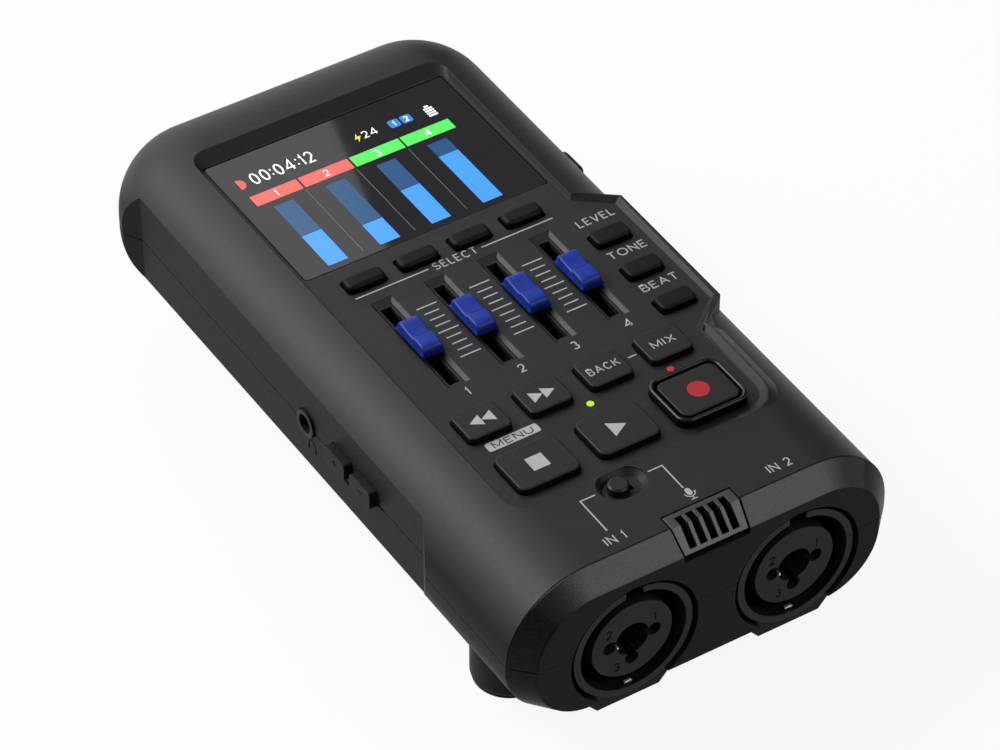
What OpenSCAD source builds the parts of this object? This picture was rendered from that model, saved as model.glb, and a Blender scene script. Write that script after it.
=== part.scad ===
// Pocket four track recorder with two front input jacks, four faders, transport keys and a battery bay.
// Millimetres. X to the right, Y to the screen end, Z up from the table.

/* [Body] */
// Width of the case
body_w = 74.8; // [74:0.2:78]
// Length of the case
body_l = 143.4; // [142.6:0.2:149]
// Height of the belly above the table
leg_h = 10.1; // [9.6:0.1:11]
// Height of the lower shell, from the belly to the seam
lower_h = 13.2; // [12.8:0.1:14.4]
// Height of the upper shell at the front, also the radius of its shoulder
upper_h = 15; // [14.6:0.1:15.6]
// Radius between the belly and the sides
belly_r = 12; // [11:0.2:12.6]
// Corner radius at the screen end, seen from above
corner_r = 16; // [15.8:0.2:18]
// Rise of the top face towards the screen end, in degrees
top_tilt = 0.75; // [0.6:0.05:0.9]
// Wall thickness
wall = 2; // [1.8:0.1:2.2]
// Depth of the 45 degree band round the front
band_d = 3.7; // [3.2:0.1:4.2]

/* [Panel] */
// Width of the sunk panel
panel_w = 50.4; // [50:0.1:51]
// Display window, across
window_w = 49.1; // [48:0.1:49.4]
// Display window, along
window_l = 35.3; // [34.8:0.1:35.6]
// Distance between two fader columns
track_pitch = 10.63; // [10.4:0.01:10.7]
// Full travel of a fader
fader_travel = 15; // [13:0.5:15]
// Height of the keys above the panel
key_proud = 1.3; // [0.9:0.1:1.6]
// Travel of a panel key
key_travel = 0.6; // [0.4:0.05:0.65]
// Travel of the input selector
selector_travel = 1.5; // [1:0.1:1.6]
// Travel of the power knob to either side
power_travel = 2; // [1:0.1:2]

/* [Jacks] */
// Distance between the two input jacks
jack_pitch = 32.1; // [32:0.1:33]
// Radius of an input jack's outer ring
jack_r = 11.6; // [11.2:0.05:11.7]
// Radius of the jack's insert
insert_r = 7.8; // [7.6:0.05:8]
// Radius of the 6.35 mm plug bore
plug_r = 3.25; // [3.2:0.01:3.35]
// Radius of the phones plug bore
phones_r = 1.8; // [1.76:0.01:1.9]

/* [Hidden] */
$fn = 48;

big = 200;
fit = 0.3;
seam_gap = 0.3;
half_w = body_w / 2;
y_front = -body_l / 2;
y_case = y_front + band_d;
belly_z = leg_h;
seam_z = belly_z + lower_h;
top_z = seam_z + upper_h;
panel_z = top_z;
roof_z = panel_z - wall;
shoulder_r = upper_h;

// Centres of the two rounded corners at the screen end
corner_x = half_w - corner_r;
corner_y = body_l / 2 - corner_r;

// Sizes of what stands on the panel
group_x = 1.1;
track_x = -0.3;
panel_side_run = 0.55;
panel_end_run = 1.6;
window_t = 1.25;
window_gap = 0.35;
select_size = [7.6, 3.6];
lever_l = 7;
fader_slot = [2.1, fader_travel + lever_l + fit];
fader_pocket = [4.3, fader_slot[1] + 2.9];
cap_top = [3.8, 7.5];
cap_base = [4.3, 9];
cap_h = 2.2;
function_size = [7, 3.9];
function_pitch = 9.98;
row_size = [8.3, 7];
row_pitch = 12.01;
row_x = -0.6;
big_size = [11.8, 9.5];
stop_x = -16.3;
play_x = -0.6;
record_x = 15.4;
record_size = [11.5, 9.4];
ring_size = [13.4, 11.3];
ring_h = 1;
light_r = 0.65;
dish_r = 3.3;
dish_half = 1.1;
dish_d = 1.1;
selector_x = -6.8;
selector_off = -selector_travel / 2;
selector_r = 1.85;

// Microphone grille, from the front edge back
mic_back = 6.4;

// Free strips along the top, from the screen end to the microphone grille. What the rows leave of the
// length is shared out between them in these proportions.
rear_strip = 5.3;
window_strip = 3.55;
select_strip = 3.7;
fader_strip = 7;
row_strip = 4.35;
ring_strip = 1.65;
dish_strip = 6.9;
strips = rear_strip + window_strip + select_strip + fader_strip + row_strip + ring_strip + dish_strip;
rows = window_gap + window_l + select_size[1] + fader_pocket[1] + row_size[1] + ring_size[1] + 2 * dish_r + 0.2;
spread = (body_l - shoulder_r - rows - mic_back) / strips;

// Rows of the panel, from the screen down to the selector
panel_y1 = body_l / 2 - shoulder_r - spread * rear_strip;
window_y = panel_y1 - window_gap - window_l / 2;
select_y = window_y - window_l / 2 - spread * window_strip - select_size[1] / 2;
fader_y = select_y - select_size[1] / 2 - spread * select_strip - fader_pocket[1] / 2;
row_y = fader_y - fader_pocket[1] / 2 - spread * fader_strip - row_size[1] / 2;
light_y = row_y - row_size[1] / 2 - spread * 1.8;
big_y = row_y - row_size[1] / 2 - spread * row_strip - ring_size[1] / 2;
selector_y = big_y - ring_size[1] / 2 - spread * ring_strip - dish_r - 0.1;
panel_y0 = selector_y + dish_r;
function_x = half_w - 11.8;
function_y = fader_y + 5.4;

// Raised wing of the panel, right of the faders
wing_x = half_w - 6.1;
wing_y0 = fader_y - 16.9;
wing_y1 = fader_y + 12.4;
wing_step = 4.9;
wing_inner = panel_w / 2;
wing_rim = 1.5;
wing_wall = 2;

// Parts behind the panel
board_t = 1.6;
flange_t = 0.6;
flange_grow = 0.8;
flange_cut = 1;
flange_top = roof_z - 0.1;
dome_h = 0.15;
dome_gap = 0.15;
board_top = flange_top - flange_t - key_travel - dome_gap - dome_h;
pot_size = [8, 28, 5];
main_top = seam_z - 1.9;
board_gap = 4.8;

// Sides
facet_d = 2.45;
facet_y0 = fader_y - 31;
facet_y1 = corner_y;
facet_run = 4.5;
facet_x = -half_w + facet_d;
facet_t = 1.75;
side_key = [6.5, 3.4];
side_key_z = seam_z + 1.2;
side_key_out = 1.65;
side_key_travel = 0.6;
volume_y = [fader_y - 5.2, fader_y - 13.4];
phones_y = fader_y + 6.4;
phones_z = seam_z + 0.7;
phones_nose_r = 2.6;
phones_depth = 14;
power_y = window_y - 4.4;
power_z = seam_z + 2.7;
power_size = [6.5, 4.4];
power_out = 1.5;
power_stem = [2.2, 2];
usb_y = fader_y + 11;
usb_size = [8.9, 3.2];
usb_z = main_top + usb_size[1] / 2;
card_y = fader_y - 11;
card_size = [14, 1.9];
card_depth = 15;
card_slot = [11.2, 1];

// Jacks and microphones
jack_z = belly_z + 10.4;
jack_x = [group_x - jack_pitch / 2, group_x + jack_pitch / 2];
jack_gap = 0.8;
jack_inner_r = 10.3;
jack_body_r = jack_r - 0.4;
jack_l = 30;
jack_slot_w = 3.4;
ring_back = 0.45;
insert_back = 0.9;
pin_r = 1.3;
pin_circle = 4.3;
pin_depth = 14;
contact_back = 6;
contact_r = 0.95;
swell_w = [18.6, 12.2];
swell_z = jack_z - jack_r - jack_gap - 1.75;
mic_x = group_x - 0.4;
mic_w = [13.6, 11.4];
mic_slots = 5;
mic_pitch = 2.1;
mic_slot_w = 1.35;
mic_gap = 0.3;
capsule_r = 1.8;
capsule_x = 3;

// Underside
pad_t = 1.2;
leg_at = [25.2, y_front + 21.9];
leg_r = 6.7;
foot_r = leg_r - 0.3;
cell_r = 7.2;
cell_l = 49;
cell_pitch = 14.6;
cell_y = corner_y - 16.1;
nub_r = 2.7;
nub_h = 1.4;
bay_half = (cell_l + nub_h) / 2 + 1.8;
bay_y = [cell_y - 3 * cell_pitch - cell_r - 0.4, cell_y + cell_r + 0.4];
bay_wall = 1.5;
bulge_half = [bay_half + 4.5, bay_half + 1.1, bay_half + 0.2];
bulge_y = [bay_y[0] - 3.5, bay_y[1] + 10.5];
door_t = 1.4;
door_half = bay_half - 1.4;
cell_z = pad_t + door_t + fit + cell_r;
bay_top = cell_z + cell_r + 0.8;
door_y1 = bay_y[1] - 1.2;
tongue = 0.9;
tongue_t = 0.7;
rear_pad = [5.5, 9.5];
screw_at = [[half_w - 9, row_y - 3.9], [half_w - 15, body_l / 2 - 11]];
screw_r = 1;
screw_head_r = 2;
screw_head_h = 1.4;
screw_l = 17;
boss_r = 3;
post_r = 1.6;
contact_w = 10;
contact_t = 0.4;

body_c = [0.22, 0.22, 0.23];
dark_c = [0.1, 0.1, 0.11];
board_c = [0.1, 0.3, 0.16];
metal_c = [0.7, 0.7, 0.68];

// Helpers

module box(x, y, z) translate([x[0], y[0], z[0]]) cube([x[1] - x[0], y[1] - y[0], z[1] - z[0]]);

module round_rect(size, r) {
    square([size[0] - 2 * r, size[1]], center = true);
    square([size[0], size[1] - 2 * r], center = true);
    for (x = [-1, 1], y = [-1, 1]) translate([x * (size[0] / 2 - r), y * (size[1] / 2 - r)]) circle(r);
}

module round_block(size, r, z) translate([0, 0, z[0]]) linear_extrude(z[1] - z[0]) round_rect(size, r);

module quarter(r) intersection() {
    circle(r, $fn = 96);
    square(r);
}

// A section drawn from the inside out is carried along both sides and round the screen end.
// $reach tells it how far out it goes.
module sweep() {
    translate([0, corner_y, 0]) rotate([90, 0, 0]) linear_extrude(corner_y - y_front + 5) for (s = [0, 1])
        mirror([s, 0]) {
            $reach = half_w;
            children();
        }
    $reach = corner_r;
    for (s = [0, 1]) mirror([s, 0, 0]) translate([corner_x, corner_y, 0]) rotate_extrude(angle = 90, $fn = 96) children();
    translate([-corner_x, corner_y, 0]) rotate([90, 0, 90]) linear_extrude(2 * corner_x) children();
}

module upper_section(inset) {
    translate([0, -5]) square([$reach - inset, 5]);
    square([$reach - shoulder_r, upper_h - inset]);
    translate([$reach - shoulder_r, 0]) quarter(shoulder_r - inset);
}

module lower_section(inset, rise) {
    translate([0, belly_r]) square([$reach - inset, lower_h - belly_r + rise]);
    translate([0, inset]) square([$reach - belly_r, lower_h - inset + rise]);
    translate([$reach - belly_r, belly_r]) mirror([0, 1]) quarter(belly_r - inset);
}

// Tilts what is drawn about the seam at the front
module tilted() translate([0, y_front, seam_z]) rotate([top_tilt, 0, 0]) translate([0, -y_front, 0]) children();

module upper_solid(inset) intersection() {
    tilted() sweep() upper_section(inset);
    box([-big, big], [y_case + 0.2, big], [seam_z + seam_gap, big]);
}

module lower_solid(inset, rise = 0) intersection() {
    translate([0, 0, belly_z]) sweep() lower_section(inset, rise);
    box([-big, big], [y_case + 0.2, big], [0, big]);
}

module at_jacks() for (x = jack_x) translate([x, y_front, jack_z]) rotate([-90, 0, 0]) children();

module at_tracks() for (i = [0:3]) translate([track_at(i), 0, 0]) children();

function track_at(i) = track_x + (i - 1.5) * track_pitch;
function row_at(i) = row_x + (i - 1.5) * row_pitch;
function function_at(i) = function_y - i * function_pitch;

// Flat facet sunk into the left side
module facet_cut() {
    end = facet_run / facet_d;
    linear_extrude(big) polygon([[facet_x, facet_y0], [facet_x, facet_y1],
        [-half_w - 1, facet_y1 + end * (facet_d + 1)], [-half_w - 1, facet_y0 - end * (facet_d + 1)]]);
}

module facet_plate() box([facet_x - 1, facet_x + facet_t], [facet_y0 - 6, facet_y1 + 6], [belly_z, top_z]);

// Openings in both sides, shared by the two shells
module side_openings() {
    translate([-half_w - 1, phones_y, phones_z]) rotate([0, 90, 0]) cylinder(r = phones_nose_r + 0.15, h = 8);
    for (y = volume_y) translate([-half_w - 1, y, side_key_z]) rotate([0, 90, 0])
        linear_extrude(8) round_rect([side_key[1] + fit, side_key[0] + fit], 0.7);
    box([half_w - 8, half_w + 1], [power_y - power_travel - power_stem[0] / 2 - fit,
        power_y + power_travel + power_stem[0] / 2 + fit], [power_z - power_stem[1] / 2 - fit / 2,
        power_z + power_stem[1] / 2 + fit / 2]);
    translate([half_w - 8, usb_y, usb_z]) rotate([0, 90, 0])
        linear_extrude(10) round_rect([usb_size[1] + fit, usb_size[0] + fit], usb_size[1] / 2);
    box([half_w - 8, half_w + 1], [card_y - card_size[0] / 2 - fit / 2, card_y + card_size[0] / 2 + fit / 2],
        [main_top - 0.01, main_top + card_size[1] + fit / 2]);
}

// Case

module wing_outline(grow) polygon([[wing_inner - 8, wing_y0 - wing_step - grow], [wing_inner, wing_y0 - wing_step - grow],
    [wing_x + grow, wing_y0 - grow * 0.4], [wing_x + grow, wing_y1 + grow * 0.4],
    [wing_inner, wing_y1 + wing_step + grow], [wing_inner - 8, wing_y1 + wing_step + grow]]);

module wing_block() intersection() {
    tilted() translate([0, 0, 4]) linear_extrude(upper_h - 4) wing_outline(wing_rim);
    box([0, big], [-big, big], [seam_z + 4, big]);
}

module wing_hollow() translate([0, 0, seam_z]) linear_extrude(roof_z - seam_z) wing_outline(wing_rim - wing_wall);

module panel_slab() intersection() {
    union() {
        box([-panel_w / 2 - 2, panel_w / 2 + 2], [panel_y0 - 2, panel_y1 + 3], [roof_z, panel_z + 0.5]);
        translate([0, 0, roof_z]) linear_extrude(wall) wing_outline(0);
    }
    union() {
        upper_solid(0);
        wing_block();
    }
}

module panel_corner(side, y, r, grow, z) translate([side * (panel_w / 2 + grow - r), y, z]) cylinder(r = r, h = 0.01, $fn = 32);

// Sunk panel with its bevelled rim, and the wing's
module panel_pocket() {
    rise = 4;
    hull() for (up = [0, 1]) for (side = [-1, 1]) {
        grow = up * rise * panel_side_run;
        z = panel_z + up * rise;
        panel_corner(side, panel_y1 - 2.2 + up * rise * panel_end_run, 2.2, grow, z);
        panel_corner(side, panel_y0 + 4.2 - up * rise, 4.2, grow, z);
    }
    hull() for (up = [0, 1]) translate([0, 0, panel_z + up * rise]) linear_extrude(0.01) wing_outline(up * rise);
}

module key_hole(x, y, size, r) translate([x, y, 0]) round_block([size[0] + fit, size[1] + fit], r, [roof_z - 1, panel_z + 5]);

module fader_pocket_cut() {
    depth = 0.9;
    hull() {
        translate([0, fader_y, panel_z + 0.01]) cube([fader_pocket[0], fader_pocket[1], 0.02], center = true);
        translate([0, fader_y, panel_z - depth]) cube([fader_slot[0] + 0.9, fader_slot[1] + 1, 0.02], center = true);
    }
}

module selector_dish() hull() for (s = [-1, 1])
    translate([selector_x + s * dish_half, selector_y, panel_z - dish_d]) {
        cylinder(r1 = dish_r - 0.9, r2 = dish_r, h = dish_d + 0.05, $fn = 32);
        translate([0, 0, dish_d]) cylinder(r = dish_r + 0.1, h = 0.6, $fn = 32);
    }

module panel_openings() {
    translate([0, window_y, 0]) round_block([window_w + fit, window_l + fit], 0.8, [panel_z - window_t, panel_z + 3]);
    translate([0, window_y - 0.4, 0]) round_block([window_w - 4, window_l - 2.6], 0.8, [roof_z - 1, panel_z]);
    for (i = [0:3]) {
        key_hole(track_at(i), select_y, select_size, 0.7);
        key_hole(row_at(i), row_y, row_size, 1.1);
    }
    for (i = [0:2]) key_hole(function_x, function_at(i), function_size, 0.7);
    for (x = [stop_x, play_x]) key_hole(x, big_y, big_size, 1.6);
    key_hole(record_x, big_y, record_size, 1.6);
    at_tracks() {
        fader_pocket_cut();
        box([-fader_slot[0] / 2, fader_slot[0] / 2], [fader_y - fader_slot[1] / 2, fader_y + fader_slot[1] / 2],
            [roof_z - 1, panel_z]);
    }
    for (x = [play_x, record_x]) translate([x, light_y, roof_z - 1]) cylinder(r = light_r, h = wall + 2);
    selector_dish();
    box([selector_x - selector_travel / 2 - 1, selector_x + selector_travel / 2 + 1], [selector_y - 1, selector_y + 1],
        [roof_z - 1, panel_z]);
}

// Screw bosses, up into the wall above them
module top_bosses() intersection() {
    for (p = screw_at, s = [-1, 1]) translate([s * p[0], p[1], seam_z + seam_gap]) cylinder(r = boss_r, h = upper_h);
    upper_solid(wall / 2);
}

module board_posts() for (s = [-1, 1], y = [panel_y0 - 0.3, panel_y1 - 0.5])
    translate([s * (panel_w / 2 - 2.6), y, board_top]) cylinder(r = post_r, h = roof_z - board_top + 0.5);

module top_case() color(body_c) difference() {
    union() {
        difference() {
            union() {
                upper_solid(0);
                wing_block();
            }
            difference() {
                upper_solid(wall);
                facet_plate();
            }
            wing_hollow();
        }
        panel_slab();
        board_posts();
        top_bosses();
    }
    panel_pocket();
    panel_openings();
    facet_cut();
    side_openings();
    mic_notch(mic_gap);
    for (p = screw_at, s = [-1, 1]) translate([s * p[0], p[1], seam_z - 1]) cylinder(r = screw_r, h = 10.5);
}

// The band round the front, upper half: cones at the rounded corners, flat bevels between
module bezel_upper_solid() translate([0, y_front, seam_z + seam_gap / 2]) {
    for (s = [-1, 1]) intersection() {
        translate([s * (half_w - shoulder_r), 0, 0]) rotate([-90, 0, 0])
            cylinder(r1 = shoulder_r - band_d, r2 = shoulder_r, h = band_d, $fn = 96);
        box([-big, big], [0, band_d], [0, big]);
    }
    translate([shoulder_r - half_w, 0, 0]) rotate([90, 0, 90]) linear_extrude(body_w - 2 * shoulder_r)
        polygon([[0, 0], [band_d, 0], [band_d, upper_h], [0, upper_h - band_d]]);
}

// Outline of the lower half of the front, with its two lower corners rounded
module bezel_lower_outline(half, r) translate([0, belly_z]) {
    translate([-half, r]) square([2 * half, lower_h - seam_gap / 2 - r]);
    translate([r - half, 0]) square([2 * half - 2 * r, r]);
    for (s = [0, 1]) mirror([s, 0]) translate([half - r, r]) mirror([0, 1]) quarter(r);
}

module bezel_slice(y, half, r) translate([0, y, 0]) rotate([90, 0, 0]) linear_extrude(0.01) bezel_lower_outline(half, r);

// Lower half of the band: as deep as the upper half at the seam, it runs out to nothing under the belly
module bezel_lower_solid() hull() {
    bezel_slice(y_front + 0.01, half_w - band_d, belly_r - 1);
    bezel_slice(y_case, half_w, belly_r);
}

// Swell under each jack, where its ring reaches below the belly
module jack_swell(y, deep) for (x = jack_x) translate([x, y, 0]) rotate([90, 0, 0]) mirror([0, 0, 1]) linear_extrude(deep)
    polygon([[-swell_w[0] / 2, belly_z + 2.5], [-swell_w[0] / 2, belly_z], [-swell_w[1] / 2, swell_z],
        [swell_w[1] / 2, swell_z], [swell_w[0] / 2, belly_z], [swell_w[0] / 2, belly_z + 2.5]]);

module jack_clearance(h) at_jacks() translate([0, 0, -1]) cylinder(r = jack_r + jack_gap, h = h, $fn = 64);

// Room behind the front face, kept clear of the bevelled band
module bezel_hollow() {
    half = half_w - shoulder_r + 6;
    box([-half, half], [y_front + wall, y_case + 1], [belly_z + wall + 0.6, jack_z + jack_r + jack_gap + 0.4]);
}

module front_bezel_upper() color(dark_c) difference() {
    bezel_upper_solid();
    bezel_hollow();
    jack_clearance(band_d + 3);
    mic_notch(mic_gap);
}

module front_bezel_lower() color(dark_c) difference() {
    union() {
        bezel_lower_solid();
        jack_swell(y_front + 1.6, band_d - 1.6);
    }
    bezel_hollow();
    jack_clearance(band_d + 3);
}

// Microphone grille, a bent plate on the band and the top edge
module mic_outline(grow) translate([mic_x, y_front - 1, 0]) rotate([90, 0, 0]) mirror([0, 0, 1]) linear_extrude(mic_back + 2)
    polygon([[-mic_w[1] / 2 - grow, top_z - band_d - 4], [-mic_w[0] / 2 - grow, top_z + 2],
        [mic_w[0] / 2 + grow, top_z + 2], [mic_w[1] / 2 + grow, top_z - band_d - 4]]);

module mic_side(pts, w) translate([mic_x - w / 2, y_front, top_z]) rotate([90, 0, 90]) linear_extrude(w) polygon(pts);

module mic_notch(grow) intersection() {
    mic_outline(grow);
    mic_side([[-1, -band_d - 0.9], [-1, 2], [mic_back + grow, 2], [mic_back + grow, -3], [2.6, -band_d - 2.4],
        [1.3, -band_d - 1.2 - grow]], 30);
}

module mic_grille() color(dark_c) difference() {
    intersection() {
        mic_outline(0);
        mic_side([[0.15, -band_d + 0.2], [band_d, 0], [mic_back, 0.05], [mic_back, -1.8], [band_d + 0.8, -1.8],
            [1.5, -band_d - 1.1]], 30);
    }
    for (i = [0:mic_slots - 1]) translate([(i - (mic_slots - 1) / 2) * mic_pitch, 0, 0])
        mic_side([[-1.3, -band_d + 2.7], [2, 2], [mic_back - 0.9, 2], [mic_back - 0.9, -3], [2.9, -band_d - 1.5]],
            mic_slot_w);
}

module mic_capsules() color(metal_c) for (s = [-1, 1])
    translate([mic_x + s * capsule_x, y_front + 3.55, top_z - 3.55]) rotate([-135, 0, 0]) cylinder(r = capsule_r, h = 2.6);

module bulge_outline() polygon([[-bulge_half[0], belly_z + 1.4], [-bulge_half[0], belly_z + 0.5], [-bulge_half[1], pad_t + 1],
    [-bulge_half[2], pad_t], [bulge_half[2], pad_t], [bulge_half[1], pad_t + 1], [bulge_half[0], belly_z + 0.5],
    [bulge_half[0], belly_z + 1.4]]);

module bulge() translate([0, bulge_y[1], 0]) rotate([90, 0, 0]) linear_extrude(bulge_y[1] - bulge_y[0]) bulge_outline();

module legs() for (s = [-1, 1]) translate([s * leg_at[0], leg_at[1], pad_t]) {
    cylinder(r1 = leg_r - 0.2, r2 = leg_r, h = 0.5);
    translate([0, 0, 0.5]) cylinder(r = leg_r, h = belly_z - pad_t + wall - 0.6);
}

module door_opening() {
    box([-door_half - fit, door_half + fit], [bulge_y[0] - 1, door_y1 + fit], [0, pad_t + door_t + fit]);
    box([-door_half - tongue - fit, door_half + tongue + fit], [bulge_y[0] - 1, door_y1 + fit],
        [pad_t + door_t - tongue_t - fit, pad_t + door_t + fit]);
}

module main_posts() for (x = [-24, 24], y = [bay_y[0] + 3, bay_y[1] - 3])
    translate([x, y, bay_top]) cylinder(r = post_r, h = main_top - board_t - bay_top);

// Lip inside the seam, standing up from the lower shell
module seam_lip() difference() {
    union() {
        lower_solid(wall + 0.15, 1);
        lower_solid(wall - 0.5, -1);
    }
    lower_solid(wall + 1, 2);
    box([-big, big], [-big, big], [0, seam_z - 2]);
    box([-half_w, 0], [facet_y0 - 8, facet_y1 + 8], [0, big]);
    box([-big, big], [-big, y_case + 2], [0, big]);
}

module bottom_case() color(body_c) difference() {
    union() {
        intersection() {
            difference() {
                lower_solid(0, -seam_gap / 2);
                difference() {
                    lower_solid(wall, 1);
                    facet_plate();
                }
            }
            box([-big, big], [-big, big], [0, seam_z]);
        }
        seam_lip();
        bulge();
        box([-bay_half - bay_wall, bay_half + bay_wall], [bay_y[0] - bay_wall, bay_y[1] + bay_wall],
            [belly_z + 0.5, bay_top + 1.2]);
        main_posts();
        legs();
        jack_swell(y_case + 0.2, jack_l - 1.5);
        for (p = screw_at, s = [-1, 1]) translate([s * p[0], p[1], belly_z + 1]) cylinder(r = boss_r, h = lower_h - 1.2);
    }
    box([-bay_half, bay_half], bay_y, [pad_t + door_t - 0.1, bay_top]);
    box([-bay_half + 2, bay_half - 2], [bay_y[1] + bay_wall, bulge_y[1] - bay_wall], [pad_t + wall, belly_z + wall + 0.5]);
    door_opening();
    jack_clearance(jack_l + 2.5);
    facet_cut();
    side_openings();
    for (p = screw_at, s = [-1, 1]) translate([s * p[0], p[1], 0]) {
        cylinder(r = screw_r + 0.2, h = big);
        cylinder(r = screw_head_r + 0.25, h = belly_z + screw_head_h + 0.6);
    }
}

// Panel pieces

module display_window() color([0.05, 0.05, 0.06]) translate([0, window_y, 0])
    round_block([window_w, window_l], 0.7, [panel_z - window_t, panel_z]);

module display_module() color(metal_c) translate([0, window_y - 0.4, 0])
    round_block([window_w - 4.6, window_l - 3.2], 0.5, [board_top, panel_z - window_t]);

module control_board() color(board_c) difference() {
    union() {
        box([-panel_w / 2 + 0.6, panel_w / 2 - 0.6], [selector_y - 3.5, panel_y1 + 1.5], [board_top - board_t, board_top]);
        translate([0, 0, board_top - board_t]) linear_extrude(board_t) wing_outline(wing_rim - wing_wall - 0.9);
    }
    at_tracks() box([-1.3, 1.3], [fader_y - fader_travel / 2 - 2.4, fader_y + fader_travel / 2 + 2.4], [0, big]);
}

module main_board() color(board_c) box([-half_w + board_gap, half_w - board_gap],
    [card_y - card_size[0] / 2 - 4, bay_y[1] + 1.5], [main_top - board_t, main_top]);

module fader_unit(i) color(metal_c) translate([track_at(i), fader_y, board_top - board_t - pot_size[2]]) difference() {
    translate([-pot_size[0] / 2, -pot_size[1] / 2, 0]) cube(pot_size);
    box([-1, 1], [-fader_travel / 2 - 2, fader_travel / 2 + 2], [1.5, pot_size[2] + 1]);
}

module fader_lever(i) color(dark_c) translate([track_at(i), fader_y, 0]) {
    box([-0.8, 0.8], [-lever_l / 2, lever_l / 2], [board_top + 0.5, panel_z + 0.3]);
    box([-0.6, 0.6], [-1.5, 1.5], [board_top - board_t - pot_size[2] + 2, board_top + 0.6]);
}

module fader_cap(i) color([0.17, 0.21, 0.7]) translate([track_at(i), fader_y, panel_z + 0.3]) {
    round_block(cap_base, 0.8, [0, 0.7]);
    hull() {
        round_block(cap_base, 0.8, [0.7, 0.71]);
        round_block([cap_base[0] - 0.2, cap_top[1] + 0.4], 0.8, [cap_h - 0.4, cap_h - 0.39]);
        round_block(cap_top, 0.6, [cap_h - 0.01, cap_h]);
    }
}

// A key with a bevelled top and a flange under the panel, left and right
module key(x, y, size, r, proud) color(dark_c) translate([x, y, 0]) {
    bevel = 0.45;
    top = panel_z + proud;
    round_block([size[0] + 2 * flange_grow, size[1] - flange_cut], r, [flange_top - flange_t, flange_top]);
    round_block(size, r, [flange_top - flange_t, top - bevel]);
    hull() {
        round_block(size, r, [top - bevel - 0.01, top - bevel], $fn = 32);
        round_block([size[0] - 2 * bevel, size[1] - 2 * bevel], max(r - bevel, 0.3), [top - 0.01, top], $fn = 32);
    }
}

module select_key(i) key(track_at(i), select_y, select_size, 0.6, key_proud);
module function_key(i) key(function_x, function_at(i), function_size, 0.6, key_proud);
module row_key(i) key(row_at(i), row_y, row_size, 1, key_proud);

module record_ring() color(dark_c) translate([record_x, big_y, 0]) difference() {
    union() {
        round_block(ring_size, 2, [panel_z, panel_z + ring_h - 0.4]);
        round_block([ring_size[0] - 0.5, ring_size[1] - 0.5], 1.8, [panel_z, panel_z + ring_h]);
    }
    round_block([record_size[0] + fit, record_size[1] + fit], 1.6, [panel_z - 1, panel_z + 3]);
}

module dome(x, y, r) translate([x, y, board_top]) cylinder(r = r, h = dome_h);

module key_switches() color(metal_c) {
    for (i = [0:3]) {
        dome(track_at(i), select_y, 1.6);
        dome(row_at(i), row_y, 2.4);
    }
    for (i = [0:2]) dome(function_x, function_at(i), 1.6);
    for (x = [stop_x, play_x, record_x]) dome(x, big_y, 2.6);
}

module light(x) color([0.6, 0.8, 0.3]) translate([x, light_y, board_top]) cylinder(r = light_r, h = panel_z - board_top + 0.15);

module selector_knob() color(dark_c) translate([selector_x + selector_off, selector_y, 0]) {
    translate([0, 0, panel_z - dish_d + 0.15]) cylinder(r = selector_r, h = dish_d + 0.1);
    translate([0, 0, panel_z + 0.25]) cylinder(r1 = selector_r, r2 = selector_r - 0.3, h = 0.3);
    box([-0.7, 0.7], [-0.7, 0.7], [board_top + 1.3, panel_z - dish_d + 0.2]);
}

module selector_switch() color(metal_c)
    box([selector_x - 4, selector_x + 4], [selector_y - 2, selector_y + 2], [board_top, board_top + 1.2]);

// Jacks

module input_jack(x) color(dark_c) translate([x, y_front, jack_z]) rotate([-90, 0, 0]) difference() {
    union() {
        translate([0, 0, ring_back]) cylinder(r = jack_r, h = band_d - ring_back, $fn = 96);
        translate([0, 0, ring_back]) cylinder(r = jack_body_r, h = jack_l - ring_back, $fn = 96);
    }
    translate([0, 0, -1]) cylinder(r = jack_inner_r, h = jack_l - 3, $fn = 96);
    translate([0, 0, -1]) cylinder(r = insert_r, h = big, $fn = 96);
    box([-jack_slot_w / 2, jack_slot_w / 2], [-jack_r - 1, -insert_r], [-1, 9]);
}

module at_pins() for (a = [0, 90, 180]) rotate([0, 0, a]) translate([pin_circle, 0, 0]) children();

module jack_insert(x) color(dark_c) translate([x, y_front, jack_z]) rotate([-90, 0, 0]) difference() {
    translate([0, 0, insert_back]) cylinder(r = insert_r, h = jack_l + 1.5, $fn = 96);
    translate([0, 0, -1]) cylinder(r = plug_r, h = jack_l + 1);
    at_pins() translate([0, 0, -1]) cylinder(r = pin_r, h = pin_depth + 1);
}

module jack_contacts() color([0.85, 0.7, 0.35]) at_jacks() at_pins() translate([0.1, 0, contact_back]) difference() {
    cylinder(r = contact_r, h = pin_depth - contact_back);
    translate([0, 0, -1]) cylinder(r = contact_r - 0.3, h = pin_depth - contact_back - 1);
}

module phones_jack() color(dark_c) translate([facet_x, phones_y, phones_z]) difference() {
    union() {
        translate([-0.5, 0, 0]) rotate([0, 90, 0]) cylinder(r = phones_nose_r, h = 4);
        box([facet_t + 0.2, phones_depth + 1.5], [-3.2, 3.2], [main_top - phones_z, 2.9]);
    }
    translate([-1, 0, 0]) rotate([0, 90, 0]) cylinder(r = phones_r, h = phones_depth + 0.5);
}

// Side controls and sockets

module volume_key(y) color(dark_c) translate([facet_x, y, side_key_z]) rotate([0, 90, 0]) {
    round_block([side_key[1], side_key[0]], 0.6, [-side_key_out, facet_t + 0.2]);
    round_block([side_key[1] + 1.2, side_key[0] + 1.2], 0.6, [facet_t + 0.1, facet_t + 0.6]);
}

module volume_switches() color(metal_c) for (y = volume_y)
    box([facet_x + facet_t + 0.65 + side_key_travel, facet_x + facet_t + 4.5], [y - 2.5, y + 2.5], [main_top, side_key_z + 1.4]);

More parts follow.
